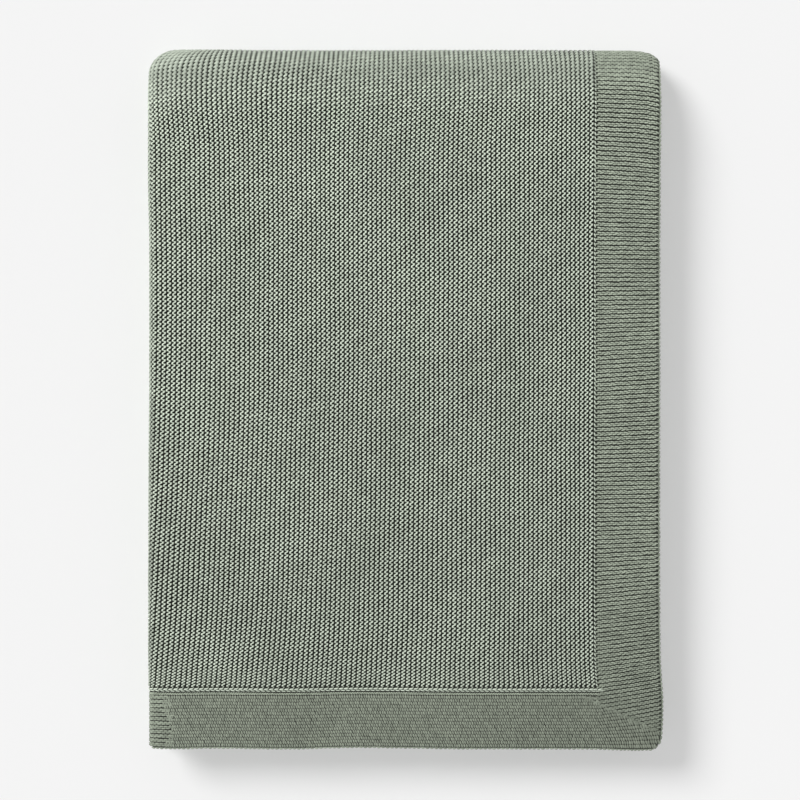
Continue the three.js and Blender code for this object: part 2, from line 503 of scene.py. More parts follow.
def groundMaterial():
    material, nodes, shader, place = knitMaterial("knitGround")
    cloud, fibre = cloudPaintedLightAndFibre(nodes, place)
    cloth = nodes.add("ShaderNodeSeparateXYZ", {0: nodes.add("ShaderNodeUVMap", uv_map="cloth").outputs[0]})
    ridge = nodes.maths("DIVIDE", cloth.outputs[0], panel["ridgePitch"] * mm)
    wale = nodes.maths("DIVIDE", cloth.outputs[1], panel["walePitch"] * mm)
    swing = clothFinish["swing"]
    swung = nodes.maths("MULTIPLY_ADD", nodes.maths("PINGPONG", wale, 0.5), 4 * swing, -swing)

    def ripple(turns):
        wave = nodes.maths("COSINE", nodes.maths("MULTIPLY", turns, 2 * math.pi))
        return nodes.maths("MULTIPLY_ADD", wave, 0.5, 0.5)

    knits = {"A": ripple(nodes.maths("ADD", ridge, swung)), "B": ripple(wale)}
    inBorder = nodes.attribute("border")
    profile = nodes.add("ShaderNodeMix", {"Factor": inBorder, **knits}, data_type="FLOAT").outputs[0]
    most = nodes.maths("MULTIPLY_ADD", inBorder, -clothFinish["borderLess"], clothFinish["most"])
    lit = nodes.maths("MULTIPLY", profile, most)
    # Painted shade: the knit's grooves are painted dark and its ridges light
    knitted = nodes.blend(lit, rgba(clothFinish["dark"]), rgba(clothFinish["light"]))
    # The ground's knit colour is scaled by the clouds and by the painted light
    scaled = nodes.add("ShaderNodeVectorMath", {0: knitted, "Scale": cloud}, operation="SCALE").outputs[0]
    # Painted shade: under the laid stitches the ground takes the near black gap colours
    gapShadeColour = nodes.blend(inBorder, rgba(yarn["gap"]), rgba(yarn["borderGapShade"]))
    colour = nodes.blend(nodes.attribute("stitched"), scaled, gapShadeColour)
    nodes.tree.links.new(colour, shader.inputs["Base Color"])
    height = nodes.maths("MULTIPLY_ADD", fibre, clothFinish["fibre"], profile)
    bump = nodes.add("ShaderNodeBump", {"Height": height, **clothFinish["bump"]})
    nodes.tree.links.new(bump.outputs[0], shader.inputs["Normal"])
    return material


# The panel: ridges along the stack, each a zigzag of yarn with one turn to each wale
panel = {
    "ridgePitch": 3.95,
    "walePitch": 3.9,
    "dropRoom": 36.0,
    "foldRidgeWidth": 3.9,
    "pieces": 3,
    "rollSteps": 10,
    "sides": 3,
    "unevenness": 0.08,
    "seed": 11,
}
ridgePitches = {
    "across": [53, 100, 140, 205, 273, 330, 400, 445],
    "pitch": [3.89, 3.93, 4.03, 4.05, 3.95, 4.05, 4.2, 4.1],
}
walePitches = {
    "along": [50, 62, 74, 95, 127, 178, 237, 296, 355, 473, 533, 700],
    "pitch": [2.9, 2.96, 3.6, 3.8, 3.8, 3.79, 3.83, 3.89, 3.94, 3.93, 3.8, 3.8],
}

# How far the zigzags have closed up into cords, by the place along the stack. They do so sooner at the left.
rollShares = {
    "sooner": 6.0,
    "soonerFrom": 340.0,
    "soonerOver": 70.0,
    "place": [238, 245, 255, 262, 267, 272, 277, 283, 288],
    "share": [0, 0.05, 0.12, 0.18, 0.23, 0.3, 0.46, 0.78, 1],
}


def stepLines(table, key, start, end):
    lines = [start]
    while lines[-1] < end:
        lines.append(lines[-1] + float(smoothRead(table, key, "pitch", lines[-1])))
    return np.array(lines)


# The visible side of the cloth, by distances measured on its outer surface
outerLeftStart, outerLeftEnd = (pathPlace(across, acrossMarks, n, "outer") for n in ("leftStart", "leftEnd"))
outerFootEnd, outerFrontStart, outerFrontEnd = (
    pathPlace(along, alongMarks, n, "outer") for n in ("footEnd", "frontStart", "frontEnd")
)
outerLength = along["outer"][-1]


def fromOuter(p, s):
    return np.interp(p, across["outer"], across["distance"]), np.interp(s, along["outer"], along["distance"])


def onGround(p, s):
    u, v = fromOuter(p, s)
    return lay(u, v, ground(u, v, 1))


def unit(vectors):
    return vectors / np.maximum(np.linalg.norm(vectors, axis=-1, keepdims=True), 1e-9)


# Which way the cloth's outer side faces
def outward(u, v, side=1):
    step = 0.4
    h = side * ground(u, v, side)
    ahead = lay(u, v + step, h) - lay(u, v - step, h)
    aside = lay(u - step, v, h) - lay(u + step, v, h)
    return side * unit(np.cross(aside, ahead))


# The yarn is laid as half a tube: how far round it goes to each side, in degrees, and how far it is sunk
tube = {"span": 84.0, "cordSpan": 64.0, "sunk": 0.06}


# Each node is a place across and along, a height, a half width and, if it isn't 1, a share of light.
def yarnShape(name, nodes, sides, span=tube["span"]):
    points, depth, turns, rings = [], [], [], []
    rows = np.array([(*node, 1.0)[:5] for node in nodes])
    ahead = np.gradient(rows[:, :2], axis=0)
    ahead /= np.hypot(*ahead.T)[:, None]
    length = np.concatenate([[0], np.cumsum(np.hypot(*np.diff(rows[:, :2], axis=0).T))])
    for (x, y, z, radius, light), (dx, dy), distance in zip(rows, ahead, length):
        ring = []
        for k in range(sides + 1 if radius > 0 else 1):
            angle = math.radians(-span + 2 * span * k / sides) if radius > 0 else math.radians(90)
            offset = radius * math.sin(angle)
            height = z * math.cos(angle)
            ring.append(len(points))
            points.append((x + dy * offset, y - dx * offset, height - tube["sunk"]))
            depth.append(height * light)
            turns.append((distance, k / sides))
        rings.append(ring)
    faces = []
    for first, second in zip(rings, rings[1:]):
        for k in range(sides):
            corner = [first[min(k, len(first) - 1)], first[min(k + 1, len(first) - 1)]]
            corner += [second[min(k + 1, len(second) - 1)], second[min(k, len(second) - 1)]]
            faces.append(list(dict.fromkeys(corner)))
    mesh = meshFrom(name, points, faces)
    pointValues(mesh, "depth", depth)
    layer = mesh.uv_layers.new(name="yarn")
    for loop in mesh.loops:
        layer.data[loop.index].uv = turns[loop.vertex_index]
    return newObject(name, mesh)


def stitchTree():
    tree = bpy.data.node_groups.new("laidStitches", "GeometryNodeTree")
    for name, kind in (
        ("Places", "Geometry"),
        ("Stitch", "Object"),
        ("Width", "Float"),
        ("Length", "Float"),
        ("Height", "Float"),
        ("Unevenness", "Float"),
        ("Seed", "Int"),
        ("Finish", "Material"),
    ):
        tree.interface.new_socket(name=name, in_out="INPUT", socket_type="NodeSocket" + kind)
    tree.interface.new_socket(name="Stitches", in_out="OUTPUT", socket_type="NodeSocketGeometry")
    nodes = Nodes(tree)
    given = nodes.add("NodeGroupInput").outputs
    shape = nodes.add("GeometryNodeObjectInfo", {"Object": given["Stitch"]}).outputs["Geometry"]

    def vectorField(name):
        field = nodes.add("GeometryNodeInputNamedAttribute", {"Name": name}, data_type="FLOAT_VECTOR")
        return field.outputs[0]

    facing = nodes.add(
        "FunctionNodeAxesToRotation",
        {"Primary Axis": vectorField("up"), "Secondary Axis": vectorField("ahead")},
        primary_axis="Z",
        secondary_axis="Y",
    ).outputs[0]
    least = nodes.maths("SUBTRACT", 1.0, given["Unevenness"])
    most = nodes.maths("ADD", 1.0, given["Unevenness"])
    wider, higher = (
        nodes.add(
            "FunctionNodeRandomValue",
            {"Min": least, "Max": most, "Seed": nodes.maths("ADD", given["Seed"], float(step))},
            data_type="FLOAT",
        ).outputs[1]
        for step in (1, 2)
    )
    size = nodes.add(
        "ShaderNodeCombineXYZ",
        {
            0: nodes.maths("MULTIPLY", given["Width"], wider),
            1: given["Length"],
            2: nodes.maths("MULTIPLY", given["Height"], higher),
        },
    ).outputs[0]
    scale = nodes.add("ShaderNodeVectorMath", {0: vectorField("pitch"), 1: size}, operation="MULTIPLY")
    laid = nodes.add(
        "GeometryNodeInstanceOnPoints",
        {"Points": given["Places"], "Instance": shape, "Rotation": facing, "Scale": scale.outputs[0]},
    ).outputs[0]
    tone = nodes.add("FunctionNodeRandomValue", {"Seed": given["Seed"]}, data_type="FLOAT").outputs[1]
    toned = nodes.add(
        "GeometryNodeStoreNamedAttribute",
        {"Geometry": laid, "Name": "tone", "Value": tone},
        data_type="FLOAT",
        domain="INSTANCE",
    ).outputs[0]
    whole = nodes.add("GeometryNodeRealizeInstances", {"Geometry": toned}).outputs[0]
    finished = nodes.add("GeometryNodeSetMaterial", {"Geometry": whole, "Material": given["Finish"]})
    nodes.add("NodeGroupOutput", {"Stitches": finished.outputs[0]})
    return tree


def layStitches(name, tree, places, inputs):
    spots = meshFrom(name + "Spots", places["at"] * mm, [], smooth=False)
    pointValues(spots, "up", places["up"], "FLOAT_VECTOR")
    pointValues(spots, "ahead", places["ahead"], "FLOAT_VECTOR")
    pointValues(spots, "pitch", places["pitch"] * mm, "FLOAT_VECTOR")
    pointValues(spots, "dim", places["dim"])
    holder = newObject(name + "Spots", spots)
    modifier = holder.modifiers.new("laidStitches", "NODES")
    modifier.node_group = tree
    sockets = {item.name: item.identifier for item in tree.interface.items_tree if item.in_out == "INPUT"}
    for key, value in inputs.items():
        modifier[sockets[key]] = value
    graph = bpy.context.evaluated_depsgraph_get()
    seen = holder.evaluated_get(graph)
    mesh = bpy.data.meshes.new_from_object(seen, preserve_all_data_layers=True, depsgraph=graph)
    mesh.name = name
    holder.modifiers.clear()
    bpy.data.objects.remove(holder)
    mesh.shade_smooth()
    piece = newObject(name, mesh)
    triangles = sum(len(face.vertices) - 2 for face in mesh.polygons)
    print("%s: %d stitches, %d triangles" % (name, len(places["at"]), triangles))
    return piece


# Places for stitches that run from one wale line to the next: start and end points and the ridge pitch
def stitchPlaces(start, end, up, wide, high):
    ahead = end - start
    length = np.linalg.norm(ahead, axis=-1)
    count = len(start)
    pitch = np.stack([np.broadcast_to(wide, count), length, np.broadcast_to(high, count)], axis=-1)
    return {"at": start, "up": up, "ahead": unit(ahead), "pitch": pitch, "dim": np.zeros(count)}


def joinPlaces(*several):
    return {key: np.concatenate([places[key] for places in several]) for key in several[0]}


def pickPlaces(places, chosen):
    return {key: value[chosen] for key, value in places.items()}


# The panel's lines. The wale lines run on past its end, for the rows that drop towards the left.
panelEnd = outerLength - fold["border"]
ridgeLines = stepLines(ridgePitches, "across", fold["border"] + 5.0, outerLeftEnd + 1.0)
waleLines = stepLines(walePitches, "along", fold["border"] - 0.5, panelEnd + panel["dropRoom"])

# The ridges spread towards the front left, bow before the roll, and lean on the roll and near the front.
ridgeShifts = {
    "spread": 14.0,
    "spreadOver": 320.0,
    "bowFrom": 495.0,
    "bowOver": 65.0,
    "rollFrom": 560.0,
    "rollOver": 40.0,
    "frontFrom": 50.0,
    "frontOver": 75.0,
}
bows = {
    "across": [53, 140, 207, 275, 320, 343, 390, 406, 425, 442],
    "bow": [0, -0.6, -1.3, -1.4, 0.6, 2.2, 3.6, 3.8, 2.5, 0],
}
leans = {
    "across": [53, 60, 83, 138, 205, 273, 341, 371, 404, 430],
    "roll": [0, 0, -1.4, -1.2, -0.4, 1.0, 3.0, 1.8, 0, 0],
    "front": [0, 0, 0.5, 1.8, 2.4, 3.6, 3.8, 2.4, 1.0, 0],
}
# The rows of stitches drop towards the left by a few degrees, less so near the front, and turn at the fold.
rowDrops = {
    "across": [53, 80, 140, 205, 273, 340, 385, 434],
    "drop": [0, 0.9, 2.5, 5.6, 11.7, 20.3, 25.3, 28.0],
}
rowShares = {
    "along": [52, 62, 85, 127, 178, 237, 296, 355],
    "share": [0, 0.06, 0.22, 0.48, 0.7, 0.82, 0.92, 1],
}
rowTurns = {
    "turnFrom": 375.0,
    "turnWidth": 70.0,
    "turnScale": 60.0,
    "along": [62, 85, 127, 178, 237, 296, 355, 414, 473, 533],
    "turn": [0, 0.05, 0.1, 0.14, 0.12, 0.08, 0.08, 0.04, -0.023, -0.058],
}


# Where a ridge lies across, at a distance along
def ridgeAt(line, s):
    shifts = ridgeShifts
    share = np.clip((line - fold["border"]) / (outerLeftStart - fold["border"]), 0, 1.05)
    towardsFront = 1 - ramp(s, fold["border"], shifts["spreadOver"])
    spread = shifts["spread"] * share**2 * towardsFront**2
    nearFront = 1 - ramp(s, shifts["frontFrom"], shifts["frontOver"])
    spread = spread + straightRead(leans, "across", "front", line) * nearFront**2
    onRoll = smooth(ramp(s, shifts["rollFrom"], shifts["rollOver"]))
    beforeRoll = smooth(ramp(s, shifts["bowFrom"], shifts["bowOver"]))
    bow = straightRead(bows, "across", "bow", line) * beforeRoll
    lean = straightRead(leans, "across", "roll", line) * onRoll
    wobble = 0.18 * np.sin(s / 23 + line / 31) + 0.10 * np.sin(s / 7.3 + line * 1.7)
    return line + spread + bow - lean + wobble


# Where a row of stitches lies along, at a ridge
def rowAt(line, s):
    drop = straightRead(rowDrops, "across", "drop", line) * straightRead(rowShares, "along", "share", s)
    pastTurn = np.clip(line - rowTurns["turnFrom"], 0, rowTurns["turnWidth"])
    turn = straightRead(rowTurns, "along", "turn", s) * pastTurn**2 / rowTurns["turnScale"]
    return s - drop + turn


# Stitches are laid a little past what shows: over the roll's foot, and on both sides of the inner front fold.
laidPast = {"foot": 3.0, "front": 3.0, "inside": 8.0}


def isAbove(s):
    return s < outerFootEnd + laidPast["foot"]


def isShown(s):
    inFront = (s > outerFrontStart - laidPast["front"]) & (s < outerFrontEnd + laidPast["inside"])
    return isAbove(s) | inFront


def panelPlaces():
    line, wale = np.meshgrid(ridgeLines, np.arange(len(waleLines) - 1), indexing="ij")
    line, wale = line.ravel(), wale.ravel()
    drift = 0.20 * np.sin(line * 0.9) + 0.14 * np.sin(line * 0.37 + 1)
    startS, endS = rowAt(line, waleLines[wale] + drift), rowAt(line, waleLines[wale + 1] + drift)
    startP, endP = ridgeAt(line, startS), ridgeAt(line, endS)
    onFold = startP > outerLeftStart - 2
    keep = (isShown(startS) | onFold) & (startP < outerLeftEnd + 1)
    keep &= endS < panelEnd + 1
    line, startS, endS, startP, endP, onFold = (a[keep] for a in (line, startS, endS, startP, endP, onFold))
    start, end = onGround(startP, startS), onGround(endP, endS)
    u, v = fromOuter((startP + endP) / 2, (startS + endS) / 2)
    nextU, nextV = fromOuter((startP + endP) / 2 + 1, (startS + endS) / 2)
    stretch = np.linalg.norm(lay(nextU, nextV, halfCloth) - lay(u, v, halfCloth), axis=-1)
    pitch = smoothRead(ridgePitches, "across", "pitch", line) * stretch
    places = stitchPlaces(start, end, outward(u, v), pitch, relief["panel"] + relief["proud"])
    return places, onFold & ~(isAbove(startS) & (startP < outerLeftStart + 1)), line


# The last column of the panel leans the other way, so that it makes a herringbone with its neighbour.
leaningColumn = {"fromBorder": 1.9, "rollDim": 0.45, "dimFrom": 545.0, "dimOver": 25.0}


def leaningPlaces():
    shown = isShown(waleLines[:-1])
    startS, endS = waleLines[:-1][shown], waleLines[1:][shown]
    p = fold["border"] + leaningColumn["fromBorder"]
    u, v = fromOuter(p, (startS + endS) / 2)
    start, end = onGround(p, startS), onGround(p, endS)
    places = stitchPlaces(start, end, outward(u, v), panel["ridgePitch"], relief["panel"] + relief["proud"])
    onRoll = ramp(startS, leaningColumn["dimFrom"], leaningColumn["dimOver"])
    return {**places, "dim": leaningColumn["rollDim"] * onRoll}


# The convex side of the right hand fold, which is the cloth's other face
def rightFoldPlaces():
    wale = panel["walePitch"]
    u = np.arange(rightStart - 0.6, rightEnd + 1.0, panel["ridgePitch"] * foldRadius / foldReach)
    v = np.arange(fold["border"], clothLength - fold["border"], wale)
    u, v = (a.ravel() for a in np.meshgrid(u, v, indexing="ij"))
    start = lay(u, v, -ground(u, v, -1))
    end = lay(u, v + wale, -ground(u, v + wale, -1))
    up = outward(u, v + wale / 2, -1)
    return stitchPlaces(start, end, up, panel["foldRidgeWidth"], relief["panel"] + relief["proud"])


# One turn of the zigzag: along at the left, over to the right, and a thin low link back to the next turn
zigzagNodes = [
    (-0.149, 0.000, 0.85, 0.34, 0.67),
    (-0.242, 0.346, 1.00, 0.16, 1.00),
    (0.242, 0.599, 1.00, 0.16, 0.94),
    (0.149, 0.920, 0.85, 0.38, 0.67),
    (0.130, 0.966, 0.41, 0.06, 0.37),
    (-0.149, 1.000, 0.85, 0.34, 0.67),
]


# The yarn thickens sooner than the zigzag straightens, and soonest where it goes down between the stitches.
# On the way it is a little less light than at either end.
closingUp = {
    "share": [0, 0.15, 0.45, 0.7, 1],
    "light": [1, 0.92, 0.93, 0.97, 1],
    "topLess": 1.1,
    "tops": (1, 2),
    "link": 4,
}


def closedUp(first, second, share):
    rows = []
    for i, (near, far) in enumerate(zip(first, second)):
        isLink = i == closingUp["link"]
        wider, higher = (1 - (1 - share) ** (4 if isLink else power) for power in (2, 3))
        shares = (share, share, higher, wider, higher)
        row = [a + (b - a) * t for a, b, t in zip(near, far, shares)]
        light = straightRead(closingUp, "share", "light", share)
        light = light - (i in closingUp["tops"]) * closingUp["topLess"] * share * (1 - share) ** 2
        rows.append((*row[:4], row[4] * light))
    return rows


zigzag = yarnShape("zigzagStitch", zigzagNodes, panel["sides"])

# On the roll the ridges are seen from their side, as cords, and the stitch closes up to them in a few steps.
cordNodes = [
    (-0.050, 0.000, 0.97, 0.50, 0.45),
    (-0.070, 0.346, 1.00, 0.50, 0.46),
    (0.070, 0.599, 1.00, 0.50, 0.46),
    (0.050, 0.920, 0.97, 0.50, 0.45),
    (0.000, 0.966, 0.97, 0.50, 0.45),
    (-0.050, 1.000, 0.97, 0.50, 0.45),
]


def rollShape(share, step):
    nodes = closedUp(zigzagNodes, cordNodes, share)
    span = tube["span"] - (tube["span"] - tube["cordSpan"]) * (1 - (1 - share) ** 3)
    return yarnShape("rollStitch%d" % step, nodes, panel["sides"], span)


rollShapes = [rollShape(step / panel["rollSteps"], step) for step in range(1, panel["rollSteps"] + 1)]

# The borders: plain knit whose wales run across the stack, each a row of slanting pairs of legs
border = {
    "course": 2.05,
    "sideCourse": 3.73,
    "sidePlace": 0.308,
    "sideSlant": 8.2,
    "endSlant": -72.3,
    "endShift": 0.62,
    "endPitch": 2.72,
    "sideLegWidth": 1.48,
    "endLegWidth": 2.03,
    "endLegLength": 3.53,
    "endTop": 44.6,
    "leftPitch": 3.65,
    "edgePitch": 3.4,
    "sideLap": 1.165,
    "usualPitch": 3.9,
    "clearOfRim": 1.2,
    "turnedOver": 30.0,
    "jitter": (0.07, 3.0),
    "seed": 23,
}
fanSlopes = {
    "along": [0, 33, 55, 75, 104, 134, 164, 193, 223, 253, 282]
    + [312, 342, 372, 401, 431, 460, 490, 519, 549, 578, 620],
    "slope": [10.5, 10.2, 9, 7.7, 6.9, 5.3, 3, 1.2, 0.9, 1.8, 2.9]
    + [3.6, 2.8, 1.3, -0.2, -1, -1.7, -3, -2.7, -2, -0.9, -0.5],
}
sidePitches = {
    "along": [52, 62, 75, 104, 134, 164, 193, 223, 253, 282]
    + [312, 342, 372, 401, 431, 460, 490, 519, 549, 700],
    "pitch": [3.5, 3.5, 3.59, 3.62, 3.78, 3.84, 3.8, 3.79, 3.79, 3.8]
    + [3.79, 3.85, 3.97, 3.88, 3.92, 4.05, 4.05, 4.07, 3.96, 3.98],
}
# How much darker the side border is near the front and on the roll
sideDims = {"along": [50, 150, 560, 571, 583, 600], "dim": [0.15, 0, 0.02, 0.12, 0.25, 0.2]}
sideLines = stepLines(sidePitches, "along", fold["border"] - 1.8, panelEnd)


# Wale lines climb towards the right edge near the front corner.
def fanned(p, s):
    inward = np.clip(fold["border"] - p, 0, None)
    return s + inward * np.tan(np.radians(straightRead(fanSlopes, "along", "slope", s)))


# The end border's own rows turn with them, less and less towards the front hem.
def turned(p, s):
    return s + (fanned(p, s) - s) * ramp(s, 0, border["turnedOver"])


leaning = yarnShape(
    "leaningStitch",
    [
        (0.22, -0.08, 0.0, 0.0),
        (0.10, 0.20, 1.0, 0.2, 0.66),
        (-0.10, 0.74, 1.0, 0.2, 0.6),
        (-0.20, 1.04, 0.0, 0.0),
    ],
    panel["sides"],
)
rimLoop = yarnShape(
    "rimLoop",
    [
        (0, 0.00, 0.4, 0.30, 0.9),
        (0, 0.16, 0.8, 0.44, 3.5),
        (0, 0.50, 1.0, 0.50, 5.5),
        (0, 0.84, 0.8, 0.44, 3.5),
        (0, 1.00, 0.4, 0.30, 0.9),
    ],
    4,
)
leg = yarnShape(
    "legStitch",
    [(0, -0.62, 0, 0), (0, -0.22, 1.0, 0.5), (0, 0.22, 1.0, 0.5), (0, 0.62, 0, 0)],
    3,
)


# Places for single legs, centred where they are and turned by their slant from the line across the stack
def legPlaces(p, s, slant, wide, length, high, fan=fanned, dim=0.0):
    step = 0.5
    u, v = fromOuter(p, fan(p, s))
    at = onGround(p, fan(p, s))
    towards = unit(onGround(p - step, fan(p - step, s)) - onGround(p + step, fan(p + step, s)))
    up = outward(u, v)
    beside = np.cross(up, towards)
    angle = np.radians(slant)[:, None]
    ahead = towards * np.cos(angle) + beside * np.sin(angle)
    count = len(p)
    pitch = np.stack([np.broadcast_to(a, count) for a in (wide, length, high)], axis=-1)
    return {"at": at, "up": up, "ahead": ahead, "pitch": pitch, "dim": np.broadcast_to(dim, count)}


# Rows of wales across the stack: two legs to each wale, with a dark line between neighbouring wales.
# Where they are closed, their legs are wider and the line is narrower.
def walePlaces(courses, lines, chosen, closed, dimmed, sway=1.0):
    chance = np.random.default_rng(border["seed"])
    wales = np.arange(len(lines) - 1)
    p, wale, half = (a.ravel() for a in np.meshgrid(courses, wales, (0, 1), indexing="ij"))
    p = p - half * border["sideCourse"] / 2
    pitch = np.abs(lines[wale + 1] - lines[wale])
    place = border["sidePlace"]
    s = np.minimum(lines[wale], lines[wale + 1]) + pitch * np.where(half == 0, place, 1 - place)
    keep = chosen(p, s) & (p > border["clearOfRim"])
    p, s, half, pitch, wale = (a[keep] for a in (p, s, half, pitch, wale))
    waves = 0.13 * np.sin(p / 2.1 + 0.7 * wale) + 0.08 * np.sin(p / 5 - wale)
    stray, turn = border["jitter"]
    s = s + waves * sway + chance.normal(0, stray, len(s))
    slant = np.where(half == 0, 1, -1) * border["sideSlant"] * sway + chance.normal(0, turn, len(s)) * sway
    wide = border["sideLegWidth"] * pitch / border["usualPitch"] * (1 + closed(p, s))
    length, high = border["sideCourse"] * border["sideLap"], relief["border"] + relief["proud"]
    return legPlaces(p, s, slant, wide, length, high, dim=dimmed(p, s))


# The side border closes up and darkens beside the panel's front corner, and closes up on the roll.
sideRows = {
    "courses": (0, 15),
    "frontFrom": 50.0,
    "frontOver": 90.0,
    "inwardFrom": 33.0,
    "inwardOver": 20.0,
    "frontClosed": 0.32,
    "frontDim": 0.08,
    "rollFrom": 558.0,
    "rollOver": 20.0,
    "rollClosed": 0.6,
}


def sideCourses(rows):
    return fold["border"] - 0.1 - border["sideCourse"] * np.arange(*rows["courses"])


def sideBorderPlaces():
    rows = sideRows

    def nearCorner(p, s):
        nearFront = 1 - ramp(s, rows["frontFrom"], rows["frontOver"])
        return nearFront * ramp(p, rows["inwardFrom"], rows["inwardOver"])

    def closed(p, s):
        onRoll = ramp(s, rows["rollFrom"], rows["rollOver"]) * (s < outerFootEnd)
        return rows["rollClosed"] * onRoll + rows["frontClosed"] * nearCorner(p, s)

    def dimmed(p, s):
        dim = straightRead(sideDims, "along", "dim", s) * (s < outerFootEnd)
        return dim + rows["frontDim"] * nearCorner(p, s)

    return walePlaces(sideCourses(rows), sideLines, lambda p, s: isShown(s), closed, dimmed)


# The side border's wales go on into the corner and close up towards a slanting line.
cornerRows = {
    "courses": (-7, 15),
    "lines": 19,
    "lineAt": (13.5, 19.4),
    "lineSlope": 0.456,
    "lap": 1.5,
    "pastSeam": 1.6,
    "underSeam": 26.0,
    "fadeOver": 30.0,
    "closed": 0.58,
    "dim": 0.12,
    "lineDim": 0.25,
    "sway": 0.4,
    "clearOfHem": 0.8,
}


def pastCornerLine(p, s):
    lineP, lineS = cornerRows["lineAt"]
    return s - lineS - (p - lineP) * cornerRows["lineSlope"]


def inCorner(p, s, lap):
    return pastCornerLine(p, s) > np.sin(p * 1.9 + s) - lap


def cornerRowPlaces():
    rows = cornerRows
    lines = sideLines[0] - border["edgePitch"] * np.arange(rows["lines"])

    def chosen(p, s):
        past = np.where(s > border["endTop"], rows["pastSeam"], rows["underSeam"])
        laid = fanned(p, s)
        return inCorner(p, laid, rows["lap"]) & (p < fold["border"] + past) & (laid > rows["clearOfHem"])

    def nearness(p, s):
        return 1 - ramp(pastCornerLine(p, fanned(p, s)), 0, rows["fadeOver"])

    def closed(p, s):
        return rows["closed"] * nearness(p, s)

    def dimmed(p, s):
        return rows["dim"] + rows["lineDim"] * nearness(p, s)

    return walePlaces(sideCourses(rows), lines, chosen, closed, dimmed, rows["sway"])


# At the left the end border's courses show as lines for a little way in from the fold.
leftRows = {
    "start": 23.0,
    "lines": 13,
    "above": 0.4,
    "reach": 13.0,
    "lap": 2.0,
    "fadeFrom": 2.0,
    "fadeOver": 12.0,
    "closed": 0.48,
    "closedLess": 0.22,
    "dim": 0.2,
    "dimMore": 0.08,
    "sway": 0.15,
    "clearOfHem": 0.8,
}


def atLeft(p, s, lap):
    ripple = 2 * np.sin(s / 8.0) + 1.5 * np.sin(s * 2.1)
    return p > outerLeftStart - leftRows["reach"] - ripple - lap


def leftRowPlaces():
    rows = leftRows

    def chosen(p, s):
        return atLeft(p, s, rows["lap"]) & (s > rows["clearOfHem"])

    def inward(p):
        return ramp(outerLeftStart + rows["fadeFrom"] - p, 0, rows["fadeOver"])

    def closed(p, s):
        return rows["closed"] - rows["closedLess"] * inward(p)

    def dimmed(p, s):
        return rows["dim"] + rows["dimMore"] * inward(p)

    courses = np.arange(outerLeftStart - rows["start"], outerLeftEnd, border["sideCourse"])
    lines = border["endTop"] + rows["above"] - border["leftPitch"] * np.arange(rows["lines"])
    return walePlaces(courses, lines, chosen, closed, dimmed, rows["sway"])


# The end border's finer rows, between the corner's and the left ones, are wider and darker near the corner.
endRows = {
    "lap": 1.5,
    "leftLap": 2.0,
    "clearOfHem": 1.0,
    "strayAcross": 0.09,
    "strayAlong": 0.08,
    "strayTurn": 4.0,
    "cornerReach": 22.0,
    "cornerWider": 0.16,
    "cornerDim": 0.07,
}


def endBorderPlaces():
    rows = endRows
    chance = np.random.default_rng(border["seed"] + 1)
    courses = np.arange(border["clearOfRim"], outerLeftEnd, border["course"])
    wales = np.arange(int(border["endTop"] / border["endPitch"]) + 1)
    p, wale = (a.ravel() for a in np.meshgrid(courses, wales, indexing="ij"))
    p = p + wale * border["endShift"] % border["course"]
    s = border["endTop"] - (wale + 0.5) * border["endPitch"]
    isOther = inCorner(p, turned(p, s), -rows["lap"]) | atLeft(p, s, -rows["leftLap"])
    keep = ~isOther & (s > rows["clearOfHem"])
    p, s = p[keep], s[keep]
    count = len(p)
    stretch = (turned(p, s + 1) - turned(p, s - 1)) / 2
    p = p + chance.normal(0, rows["strayAcross"], count)
    s = s + chance.normal(0, rows["strayAlong"], count)
    slant = border["endSlant"] + chance.normal(0, rows["strayTurn"], count)
    nearCorner = ramp(pastCornerLine(p, turned(p, s)), -rows["cornerReach"], rows["cornerReach"])
    wide = border["endLegWidth"] * (1 + rows["cornerWider"] * nearCorner)
    length, high = border["endLegLength"] * stretch, relief["border"] + relief["proud"]
    return legPlaces(p, s, slant, wide, length, high, fan=turned, dim=rows["cornerDim"] * nearCorner)


# Between the panel and the end border: a row of loops, one to each ridge, and rows of small stitches.
# Each row has its places, its distance from the hem, its slant, width, length and share of the height.
def seamRowPlaces():
    ridges = ridgeAt(ridgeLines, fold["border"])
    ridges = np.concatenate([fold["border"] + np.array([-2.6, 1.3]), ridges[ridges < outerLeftEnd]])
    small = np.arange(fold["border"] + 1.0, outerLeftEnd, border["course"])
    high = relief["border"] + relief["proud"]
    rows = []
    for p, s, slant, wide, length, share in (
        (ridges, 51.7, 62.0, 1.2, 2.0, 0.8),
        (ridges + 0.5 * panel["ridgePitch"], 50.1, 9.0, 1.6, 4.3, 1.5),
        (ridges + 0.4, 48.6, -8.0, 1.0, 4.3, 1.0),
        (small, 46.6, 20.0, 1.0, 2.5, 1.0),
        (small + 1.0, 45.6, -20.0, 1.0, 2.5, 1.0),
    ):
        rows.append(legPlaces(p, np.full(len(p), s), np.full(len(p), slant), wide, length, high * share))
    return rows


# The rounded loops that bind the rim, one after another along each hem that shows
rim = {"pitch": 3.75, "width": 3.3, "height": 2.0, "start": 0.6}


def hemPlaces():
    inset, pitch = fold["hemInset"], rim["pitch"]
    sideAt = np.arange(rim["start"], clothLength - 1, pitch)
    endAt = np.arange(rim["start"], clothWidth - 1, pitch)
    rows = []
    for u, v, (outU, outV) in (
        (inset, sideAt, (-1, 0)),
        (clothWidth - inset, sideAt, (1, 0)),
        (endAt, inset, (0, -1)),
    ):
        u, v = np.broadcast_arrays(np.asarray(u, float), np.asarray(v, float))
        start, end = lay(u, v, 0.0), lay(u + pitch * abs(outV), v + pitch * abs(outU), 0.0)
        beyond = lay(u + outU * 0.5, v + outV * 0.5, 0.0) - start
        up = unit(np.cross(outward(u, v), end - start))
        up = up * np.sign(np.sum(up * beyond, axis=-1, keepdims=True))
        rows.append(stitchPlaces(start, end, up, rim["width"], rim["height"]))
    return joinPlaces(*rows)


